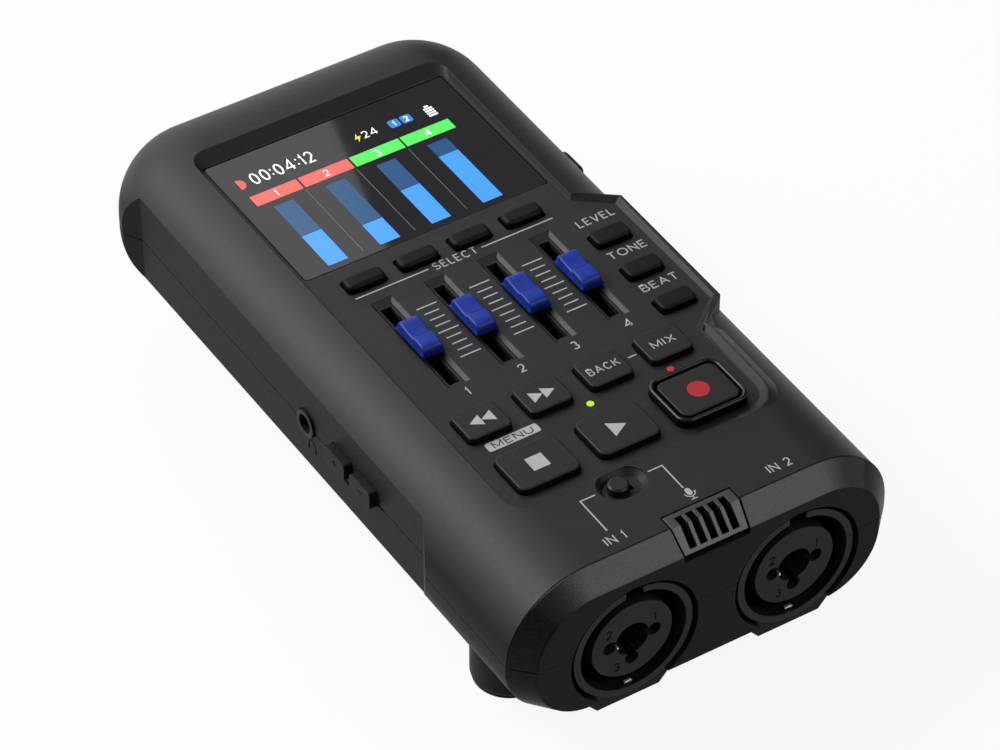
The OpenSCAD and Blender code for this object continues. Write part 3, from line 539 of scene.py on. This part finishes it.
window = new_piece("display_glass", make_window, glass, "body", smooth=True)
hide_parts("display_window")
WHITE_PIXELS = (224, 226, 226)
screen_piece("screen_tabs_record", make_tabs(0), (228, 88, 80))
screen_piece("screen_tabs_play", make_tabs(2), (78, 198, 86))
screen_piece("screen_tab_numbers", make_tab_numbers, WHITE_PIXELS)
screen_piece("screen_meters_full", make_meters, (62, 132, 232))
screen_piece("screen_meters_rest", make_meter_rests, (40, 74, 112), 0.6)
screen_piece("screen_dividers", make_dividers, (96, 98, 100), 0.4)
screen_piece("screen_clock", make_clock, WHITE_PIXELS)
screen_piece("screen_battery_sign", make_battery_sign, WHITE_PIXELS)
screen_piece("screen_bolt", make_bolt, (225, 190, 50))
screen_piece("screen_record_sign", make_record_sign, (235, 80, 76))
screen_piece("screen_channel_signs", make_channel_signs, (52, 116, 190), 0.7)
screen_piece("screen_channel_numbers", make_channel_numbers, WHITE_PIXELS)


# Keys with their printed marks

DOUBLE_ARROW = 2.3
PLAY_ARROW = 3.1
STOP_HALF = 1.6
RECORD_R = 1.93
KEY_WORD_H = 1.75


def key_place(node):
    """Centre, width, depth, bottom and top of a key without its flange."""
    low, high, centre = span(node)
    return centre, high.x - low.x - 2 * KEY_FLANGE, high.y - low.y, low.z, high.z


def make_key(node, radius, edge):
    def maker(bm):
        centre, width, depth, bottom, top = key_place(node)
        rounded_block(bm, centre, width, depth, radius, bottom, top, edge)
    return maker


def triangle(bm, x, y, size, direction, z):
    """A play arrow whose point is at half its size from x."""
    tip = x + direction * size / 2
    back = x - direction * size / 2
    prism(bm, [(tip, y), (back, y + 0.58 * size), (back, y - 0.58 * size)], z)


def mark_double(direction):
    def maker(bm, centre, top):
        for step in (-DOUBLE_ARROW / 2, DOUBLE_ARROW / 2):
            triangle(bm, centre.x + step, centre.y, DOUBLE_ARROW, direction, top)
    return maker


def mark_play(bm, centre, top):
    triangle(bm, centre.x + 0.1, centre.y, PLAY_ARROW, 1, top)


def mark_stop(bm, centre, top):
    half = STOP_HALF
    rectangle(bm, centre.x - half, centre.y - half, centre.x + half, centre.y + half, top)


def mark_record(bm, centre, top):
    disc(bm, centre.x, centre.y, RECORD_R, top)


def mark_word(text, width):
    def maker(bm, centre, top):
        words(bm, text, centre.x, centre.y, KEY_WORD_H, top, width=width)
    return maker


# Node, corner radius, edge rounding, mark and its ink
KEYS = [
    ("rewind_key", 1.0, 0.35, mark_double(-1), ink_pale),
    ("forward_key", 1.0, 0.35, mark_double(1), ink_pale),
    ("undo_key", 1.0, 0.35, mark_word("BACK", 6.2), ink_pale),
    ("mixdown_key", 1.0, 0.35, mark_word("MIX", 4.6), ink_pale),
    ("stop_key", 1.5, 0.35, mark_stop, ink_pale),
    ("play_key", 1.5, 0.35, mark_play, ink_pale),
    ("record_key", 1.5, 0.3, mark_record, ink_red),
]
KEYS += [(f"select_key_{i}", 1.3, 0.9, None, None) for i in range(1, 5)]
KEYS += [(f"function_key_{row}", 1.0, 0.6, None, None) for row in ("upper", "middle", "lower")]

for node, radius, edge, mark, ink in KEYS:
    rubber = soft_rubber if mark is None else key_rubber
    key = new_piece(f"{node}_cap", make_key(node, radius, edge), rubber, f"{node}_body",
                    smooth=True)
    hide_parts(node)
    if mark:
        centre, _, _, _, top = key_place(node)
        new_piece(f"{node}_mark", lambda bm: mark(bm, centre, top), ink, f"{node}_body")


# Raised ring round the record key, with rounded edges

RING_WALL = 0.75
RING_CORNER = 2.2
RING_GROW = 0.25          # how much further than its solid it reaches all round
RING_REAR = 0.2           # how much further it reaches to the rear
RING_STEPS = 10


def make_record_ring(bm):
    low, high, centre = span("record_ring")
    height = span("record_key")[1].z - low.z
    edge = RING_WALL / 2

    def outline(inset, z):
        inset -= RING_GROW
        depth = high.y - low.y + RING_REAR
        points = rounded_outline(high.x - low.x - 2 * inset, depth - 2 * inset, RING_CORNER - inset / 2)
        return [Vector((centre.x + p.x, centre.y + RING_REAR / 2 + p.y, low.z + z)) for p in points]

    rings = [outline(0, 0)]
    for i in range(RING_STEPS + 1):
        angle = math.pi * i / RING_STEPS
        rings.append(outline(edge * (1 - math.cos(angle)), height - edge * (1 - math.sin(angle))))
    rings.append(outline(RING_WALL, 0))
    tube(bm, rings)


ring = new_piece("record_ring_moulding", make_record_ring, ring_plastic, "body", smooth=True)
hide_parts("record_ring")


# Fader caps: a skirt, two finger pads, a step between them and a painted shadow line at its foot

CAP_ROUND = 0.38          # rounding along the sides of the top
SKIRT_H = 0.45
SKIRT_SLOPE_TOP = 0.62
STEP_Y = -0.48
STEP_Z = 1.7

CAP_STATIONS = [
    # place along the cap from its middle, height of the top, half width of the top
    (-4.5, 0.55, 1.75), (-4.42, 0.95, 1.85), (-4.2, 1.45, 1.9), (-3.9, 1.8, 1.9), (-3.5, 1.98, 1.9),
    (-2.6, 2.03, 1.9), (-0.95, 2.12, 1.9), (-0.82, 2.08, 1.9), (-0.7, 1.72, 1.9), (-0.55, 1.68, 1.9),
    (0.6, 1.76, 1.9), (2.4, 2.02, 1.9), (3.3, 2.14, 1.9), (3.75, 2.04, 1.9), (4.1, 1.7, 1.88),
    (4.38, 1.1, 1.85), (4.5, 0.6, 1.75),
]


def cap_section(y, height, half, base, low_z):
    """One cross section of a fader cap, from its left skirt over the top to the right."""
    shoulder = min(CAP_ROUND, height * 0.4)
    skirt = min(SKIRT_H, height * 0.5)
    slope_top = min(SKIRT_SLOPE_TOP, height * 0.62)
    side = [(-base, 0.0), (-base, skirt), (-half - 0.12, slope_top)]
    for i in range(5):
        angle = math.pi / 2 * i / 4
        side.append((-half + shoulder * (1 - math.cos(angle)), height - shoulder * (1 - math.sin(angle))))
    mirrored = [(-x, z) for x, z in reversed(side)]
    return [Vector((x, y, low_z + z)) for x, z in side + mirrored]


def make_cap(node):
    low, high, centre = span(node)
    half_base = (high.x - low.x) / 2

    def maker(bm):
        place = Vector((centre.x, centre.y, 0))
        loft(bm, [[p + place for p in cap_section(y, height, half, half_base, low.z)]
                  for y, height, half in CAP_STATIONS])
    return maker


def make_cap_step_shadow(node):
    """A dark line at the foot of the step, as painted shadow."""
    low, _, centre = span(node)
    y = centre.y + STEP_Y

    def maker(bm):
        ribbon(bm, [(centre.x - 1.1, y), (centre.x + 1.6, y)], 0.26, low.z + STEP_Z)
    return maker


for i in range(1, 5):
    node = f"fader_cap_{i}"
    cap = new_piece(f"{node}_moulding", make_cap(node), cap_plastic, f"fader_{i}",
                    smooth=True)
    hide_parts(node)
    # A dark line painted as shadow at the foot of each cap's step.
    new_piece(f"{node}_step", make_cap_step_shadow(node), cap_shadow, f"fader_{i}")


# Bevelled walls in a lighter plastic, as painted highlight: the panel's rim on the right, and the right and
# front walls of the fader pockets

PANEL_SIDE = 25.2
RIM_FOOT = -0.6           # how deep the rim reaches into the case
RIM_STEPS = 8

# Stations along the rim, from the wing to the front: foot on the panel, crest, swell beside it and outer
# foot, then the heights of the last three over the panel
RIM_STATIONS = [
    ((31.3, -24.6), (31.9, -25.3), (32.0, -25.5), (32.1, -25.6), (0.6, 0.5, -0.3)),
    ((28.25, -27.05), (28.85, -27.8), (28.95, -27.95), (29.05, -28.1), (0.65, 0.5, -0.3)),
    ((25.6, -29.2), (26.5, -30.2), (27.2, -30.9), (28.4, -31.4), (0.8, 0.0, -1.3)),
    ((PANEL_SIDE, -31.5), (26.65, -31.6), (28.7, -31.7), (31.4, -31.8), (0.95, -0.6, -3.1)),
    ((PANEL_SIDE, -40.0), (26.6, -40.1), (28.6, -40.2), (31.4, -40.4), (0.88, -0.7, -3.2)),
    ((PANEL_SIDE, -46.6), (26.5, -47.0), (28.4, -47.4), (31.0, -47.9), (0.78, -0.7, -3.0)),
    ((24.9, -48.4), (25.85, -49.3), (27.4, -50.2), (29.5, -51.5), (0.62, -0.5, -2.1)),
    ((23.9, -49.9), (24.45, -51.0), (25.5, -52.4), (26.8, -54.2), (0.46, -0.1, -1.0)),
    ((22.3, -50.9), (22.5, -51.9), (22.8, -53.4), (23.2, -55.2), (0.34, 0.12, -0.2)),
    ((18.0, -51.3), (18.0, -51.9), (18.0, -53.5), (18.0, -55.2), (0.26, 0.24, 0.1)),
]


def make_rim_bevel(bm):
    """The flat slope from the panel up to the crest."""
    root = PANEL_Z + RIM_FOOT
    loft(bm, [[Vector((*foot, root)), Vector((*foot, PANEL_Z + 0.01)),
               Vector((*crest, PANEL_Z + heights[0])), Vector((*crest, root))]
              for foot, crest, _, _, heights in RIM_STATIONS])


def make_rim_shoulder(bm):
    """The rounded slope from the crest down to the case."""
    shares = [i / RIM_STEPS for i in range(RIM_STEPS + 1)]
    rings = []
    for foot, *curve, heights in RIM_STATIONS:
        a, b, c = (Vector((*at, PANEL_Z + height)) for at, height in zip(curve, heights))
        slope = [a * (1 - t) ** 2 + b * 2 * t * (1 - t) + c * t ** 2 for t in shares]
        rings.append([Vector((*foot, PANEL_Z + RIM_FOOT))] + slope)
    loft(bm, rings)


POCKET_HALF = 2.15
POCKET_REAR = FADER_Y + 13.0
POCKET_FRONT = FADER_Y - 12.9
POCKET_D = 0.75


def make_pocket_wall_highlights(bm):
    """A sloped wall along the right of each pocket, and one across its front end."""
    top = PANEL_Z - 0.01
    foot = PANEL_Z - POCKET_D
    end = POCKET_FRONT - 0.1
    slope_end = POCKET_FRONT + 0.6
    for x in TRACKS:
        side = x + POCKET_HALF
        loft(bm, [[Vector((side, y, top)), Vector((side - POCKET_D, y, foot)), Vector((side, y, foot))]
                  for y in (POCKET_REAR, POCKET_FRONT)])
        loft(bm, [[Vector((at, end, top)), Vector((at, slope_end, foot)), Vector((at, end, foot))]
                  for at in (x - 1.0, side)])


# The rim's bevel wears a lighter plastic as painted highlight.
new_piece("panel_rim", make_rim_bevel, rim_bevel_highlight_plastic, "body")
new_piece("panel_rim_shoulder", make_rim_shoulder, case_plastic, "body", smooth=True)
# The pocket walls wear a lighter plastic as painted highlight.
new_piece("pocket_wall_highlights", make_pocket_wall_highlights, pocket_wall_highlight_plastic, "body")


# Print on the panel

HEADER_Y = span("select_key_1")[2].y - 3.1
HEADER_LINES = [(-19.8, -5.3), (5.5, 20.0)]
TICK_TOP = FADER_Y + 7.1
TICK_PITCH = 1.7625
TICKS = 9
TICK_OFF = 3.67
TICK_W = 4.0
TICK_INSET = 0.55         # how much shorter the small ticks are at each end
LINE_W = 0.26
WORD_H = 1.9
LIGHT_Y = span("play_light")[2].y


def make_header(bm):
    for x0, x1 in HEADER_LINES:
        ribbon(bm, [(x0, HEADER_Y), (x1, HEADER_Y)], LINE_W, PANEL_Z)
    words(bm, "SELECT", 0.1, HEADER_Y, WORD_H, PANEL_Z, width=8.8)


def make_scales(bm):
    for x in TRACKS[:3]:
        for i in range(TICKS):
            inset = 0 if i % 4 == 0 else TICK_INSET
            y = TICK_TOP - i * TICK_PITCH
            ribbon(bm, [(x + TICK_OFF + inset, y), (x + TICK_OFF + TICK_W - inset, y)], LINE_W, PANEL_Z)


def make_numbers(bm):
    for i, x in enumerate(TRACKS):
        words(bm, str(i + 1), x + 0.24, FADER_Y - 14.8, 2.0, PANEL_Z, weight=0.13)


def make_function_words(bm):
    for text, row, width in (("LEVEL", "upper", 7.4), ("TONE", "middle", 7.6), ("BEAT", "lower", 7.4)):
        key = span(f"function_key_{row}")[2]
        words(bm, text, key.x + 0.6, key.y + 5.65, WORD_H, PANEL_Z, width=width)


PLATE_X = (-20.9, -10.8)
PLATE_HALF = 1.05


def make_plate(bm):
    rectangle(bm, PLATE_X[0], LIGHT_Y - PLATE_HALF, PLATE_X[1], LIGHT_Y + PLATE_HALF, PANEL_Z, radius=0.45)


def make_plate_word(bm):
    words(bm, "MENU", sum(PLATE_X) / 2, LIGHT_Y, 1.5, PANEL_Z + PRINT_T, width=7.8)


def make_dash(bm):
    y = span("undo_key")[2].y + 0.9
    ribbon(bm, [(11.0, y), (12.7, y)], LINE_W, PANEL_Z)


PANEL_PRINTS = {
    "print_header": make_header, "print_scales": make_scales, "print_numbers": make_numbers,
    "print_functions": make_function_words, "print_plate": make_plate, "print_dash": make_dash,
}
for name, maker in PANEL_PRINTS.items():
    new_piece(name, maker, ink_pale, "body")
new_piece("print_plate_word", make_plate_word, ink_dark, "body")


# Print in front of the panel, on the tilted top

JACK_X = [span(f"jack_insert_{side}")[2].x for side in ("left", "right")]
SELECTOR_Y = span("selector_knob")[2].y
DISH_X = (-12.05, -1.77)  # where the brackets start beside the selector's dish
MIC_X = 1.0


def on_top(maker):
    """Lays a print that was drawn flat at z = 0, with y from the front edge, on the tilted top face."""
    def tilted(bm):
        maker(bm)
        for vert in bm.verts:
            vert.co.z += PANEL_Z + vert.co.y * math.tan(TOP_TILT)
            vert.co.y += FRONT_Y
    return tilted


def make_brackets(bm):
    rear = SELECTOR_Y - FRONT_Y
    for start, x, front in ((DISH_X[0], JACK_X[0], 8.8), (DISH_X[1], MIC_X, 10.5)):
        ribbon(bm, [(start, rear), (x, rear), (x, front)], LINE_W, 0)


def make_input_words(bm):
    for i, x in enumerate(JACK_X):
        words(bm, f"IN {i + 1}", x + 0.1, 6.65, WORD_H, 0)


def make_mic_sign(bm):
    x = MIC_X + 0.25
    y = 9.1
    reach = 0.95
    foot = 7.5
    stroke = 0.2
    rectangle(bm, x - 0.5, y - 0.6, x + 0.5, y + 1.1, 0, radius=0.48)
    cradle = [(x + reach * u, y + reach * v) for u, v in arc(0, 0, 1, 1, 180, 360)]
    ribbon(bm, [(x - reach, y)] + cradle + [(x + reach, y)], stroke, 0)
    ribbon(bm, [(x, y - reach), (x, foot + 0.05)], stroke, 0)
    ribbon(bm, [(x - 0.6, foot), (x + 0.6, foot)], stroke, 0)


TOP_PRINTS = {"print_brackets": make_brackets, "print_inputs": make_input_words, "print_mic": make_mic_sign}
for name, maker in TOP_PRINTS.items():
    new_piece(name, on_top(maker), ink_pale, "body")


# Signs on the left side, seen from there: across runs to the front

VOLUME_KEYS = {sign: span(f"volume_{name}_key") for sign, name in (("plus", "up"), ("minus", "down"))}
KEY_FACE_X = VOLUME_KEYS["plus"][0].x
FACET_X = KEY_FACE_X + 1.65   # the flat side behind the volume keys
PHONES = span("phones_jack")


def on_left(maker, x, y, z):
    """Stands a print that was drawn flat round the origin on a face that looks to the left."""
    def turned(bm):
        maker(bm)
        for vert in bm.verts:
            across, up, out = vert.co
            vert.co = Vector((x - out, y - across, z + up))
    return turned


def make_phones_sign(bm):
    reach = 1.15
    ribbon(bm, arc(0, 0, reach, reach, 200, -20), 0.25, 0)
    for ear in (-reach, reach):
        rectangle(bm, ear - 0.3, -1.1, ear + 0.3, -0.1, 0, radius=0.2)


def make_volume_ramp(bm):
    prism(bm, [(-4.2, -0.55), (4.2, -0.55), (-4.2, 0.65)], 0)


def make_plus(bm):
    ribbon(bm, [(-0.7, 0), (0.7, 0)], 0.3, 0)
    ribbon(bm, [(0, -0.7), (0, 0.7)], 0.3, 0)


def make_minus(bm):
    ribbon(bm, [(-0.7, 0), (0.7, 0)], 0.3, 0)


phones_sign = on_left(make_phones_sign, FACET_X, PHONES[2].y - 1.6, PHONES[2].z - 4.4)
new_piece("print_phones", phones_sign, ink_and_shade_black, "body")
volume_y = (VOLUME_KEYS["plus"][2].y + VOLUME_KEYS["minus"][2].y) / 2
volume_ramp = on_left(make_volume_ramp, FACET_X, volume_y, VOLUME_KEYS["plus"][0].z - 1.6)
new_piece("print_volume", volume_ramp, ink_and_shade_black, "body")
for sign, maker, key in (("plus", make_plus, "volume_up_key"), ("minus", make_minus, "volume_down_key")):
    centre = VOLUME_KEYS[sign][2]
    mark = on_left(maker, KEY_FACE_X, centre.y, centre.z)
    new_piece(f"print_{sign}", mark, ink_and_shade_black, f"{key}_body")


# Input jacks: pin numbers on the insert, dark as painted shade; springs in its bore and the latch at the
# bottom of the ring, whitened steel as painted glints

INSERT_Y = span("jack_insert_left")[0].y
JACK_Z = span("jack_insert_left")[2].z

# Places across and up from the jack's middle
PIN_NUMBERS = [("1", 4.4, 2.75), ("2", -4.5, 3.1), ("3", -2.9, -5.1)]
# The latch and springs are real metal parts, sized, placed and whitened as painted glints.
LATCH_GLINT_AT = Vector((-0.45, -9.95))
SPRING_GLINTS_AT = [Vector((-2.35, -1.7)), Vector((-1.15, -3.5))]


def on_front(maker, x, y, z):
    """Stands a print that was drawn flat round the origin on a face that looks to the front."""
    def turned(bm):
        maker(bm)
        for vert in bm.verts:
            across, up, out = vert.co
            vert.co = Vector((x + across, y - out, z + up))
    return turned


# The insert's moulded pin numbers, drawn in near black as painted shade.
def make_pin_number_shade(bm):
    for text, x, y in PIN_NUMBERS:
        words(bm, text, x, y, WORD_H, 0, weight=0.14)


def make_latch_glint(bm):
    rounded_block(bm, LATCH_GLINT_AT, width=1.5, depth=0.4, radius=0.12, bottom=-1.7, top=-1.1, edge=0.1)


def make_spring_glints(bm):
    for at in SPRING_GLINTS_AT:
        rounded_block(bm, at, width=0.45, depth=0.6, radius=0.2, bottom=-1.6, top=-0.6, edge=0.15)


for side, x in zip(("left", "right"), JACK_X):
    numbers = on_front(make_pin_number_shade, x, INSERT_Y, JACK_Z)
    latch = on_front(make_latch_glint, x, FRONT_Y, JACK_Z)
    springs = on_front(make_spring_glints, x, INSERT_Y, JACK_Z)
    new_piece(f"pin_number_shade_{side}", numbers, ink_and_shade_black, "body")
    new_piece(f"jack_latch_glint_{side}", latch, glint_steel, "body", smooth=True)
    new_piece(f"jack_spring_glints_{side}", springs, glint_steel, "body", smooth=True)


# Studio: pale floor, soft lamps and the camera

FLOOR_SIZE = 60.0
FLOOR_GAP = 0.00005       # keeps the feet's soles off the floor's plane
FLOOR_TONE = 0.85
FLOOR_GLOW = 0.9          # how much of the floor that is seen or mirrored is plain white
CAMERA_AT = Vector((-0.32765, FRONT_Y * MM - 0.45123, 0.57503))
CAMERA_AZIMUTH = math.radians(-32.43)
CAMERA_ELEVATION = math.radians(42.126)
CAMERA_LENS = 172.66
AMBIENT = 0.04

# Name, azimuth from the front to the right and elevation in degrees, distance, width and height in metres,
# and radiance
LAMPS = [
    ("rear", 182, 45, 1.0, 0.873, 0.5, 2.55),
    ("rear_low", 180, 13, 1.0, 1.0, 0.22, 2.6),
    ("left_rear", -133, 23, 1.0, 0.5, 0.35, 6.0),
    ("left_rear_high", -125, 45, 1.0, 0.5, 0.5, 8.2),
    ("front_right", 31, 39, 1.0, 0.5, 0.5, 3.0),
]


def make_floor():
    """A pale floor that keeps the shadow, and can be seen through from below."""
    mesh = bpy.data.meshes.new("floor")
    bm = bmesh.new()
    bmesh.ops.create_grid(bm, x_segments=1, y_segments=1, size=FLOOR_SIZE / 2)
    bm.to_mesh(mesh)
    bm.free()
    floor = bpy.data.objects.new("floor", mesh)
    floor.location.z = -FLOOR_GAP
    scene.collection.objects.link(floor)
    mat = bpy.data.materials.new("floor")
    mat.use_nodes = True
    tree = mat.node_tree
    tree.nodes.remove(tree.nodes["Principled BSDF"])
    output = tree.nodes["Material Output"]
    diffuse = tree.nodes.new("ShaderNodeBsdfDiffuse")
    diffuse.inputs["Color"].default_value = (FLOOR_TONE, FLOOR_TONE, FLOOR_TONE, 1)
    glow = tree.nodes.new("ShaderNodeEmission")
    glow.inputs["Strength"].default_value = 1.0
    path = tree.nodes.new("ShaderNodeLightPath")
    seen = path.outputs["Is Camera Ray"]
    for ray in ("Is Glossy Ray", "Is Transmission Ray"):
        add = tree.nodes.new("ShaderNodeMath")
        add.operation = "MAXIMUM"
        tree.links.new(seen, add.inputs[0])
        tree.links.new(path.outputs[ray], add.inputs[1])
        seen = add.outputs[0]
    share = tree.nodes.new("ShaderNodeMath")
    share.operation = "MULTIPLY"
    share.inputs[1].default_value = FLOOR_GLOW
    tree.links.new(seen, share.inputs[0])
    mix = tree.nodes.new("ShaderNodeMixShader")
    tree.links.new(share.outputs[0], mix.inputs["Fac"])
    tree.links.new(diffuse.outputs["BSDF"], mix.inputs[1])
    tree.links.new(glow.outputs["Emission"], mix.inputs[2])
    open_below = tree.nodes.new("ShaderNodeMixShader")
    tree.links.new(tree.nodes.new("ShaderNodeNewGeometry").outputs["Backfacing"], open_below.inputs["Fac"])
    tree.links.new(mix.outputs["Shader"], open_below.inputs[1])
    tree.links.new(tree.nodes.new("ShaderNodeBsdfTransparent").outputs["BSDF"], open_below.inputs[2])
    tree.links.new(open_below.outputs["Shader"], output.inputs["Surface"])
    mesh.materials.append(mat)


def make_lamp(name, azimuth, elevation, distance, width, height, radiance):
    """A rectangular soft lamp that looks at the recorder."""
    azimuth = math.radians(azimuth)
    elevation = math.radians(elevation)
    target = Vector((0, 0, PANEL_Z * MM))
    level = math.cos(elevation)
    away = Vector((math.sin(azimuth) * level, -math.cos(azimuth) * level, math.sin(elevation)))
    lamp = bpy.data.lights.new(name, "AREA")
    lamp.shape = "RECTANGLE"
    lamp.size = width
    lamp.size_y = height
    lamp.energy = radiance * math.pi * width * height
    obj = bpy.data.objects.new(name, lamp)
    obj.location = target + away * distance
    obj.rotation_euler = (-away).to_track_quat("-Z", "Y").to_euler()
    scene.collection.objects.link(obj)


def make_world():
    world = bpy.data.worlds.new("studio")
    world.use_nodes = True
    background = world.node_tree.nodes["Background"]
    background.inputs["Color"].default_value = (1, 1, 1, 1)
    background.inputs["Strength"].default_value = AMBIENT
    scene.world = world


def make_camera():
    camera = bpy.data.cameras.new("camera")
    camera.sensor_fit = "HORIZONTAL"
    camera.sensor_width = 36
    camera.lens = CAMERA_LENS
    camera.clip_start = 0.01
    obj = bpy.data.objects.new("camera", camera)
    obj.location = CAMERA_AT
    obj.rotation_euler = (math.pi / 2 - CAMERA_ELEVATION, 0, CAMERA_AZIMUTH)
    scene.collection.objects.link(obj)
    scene.camera = obj


make_floor()
for lamp in LAMPS:
    make_lamp(*lamp)
make_world()
make_camera()
scene.view_settings.view_transform = "Standard"
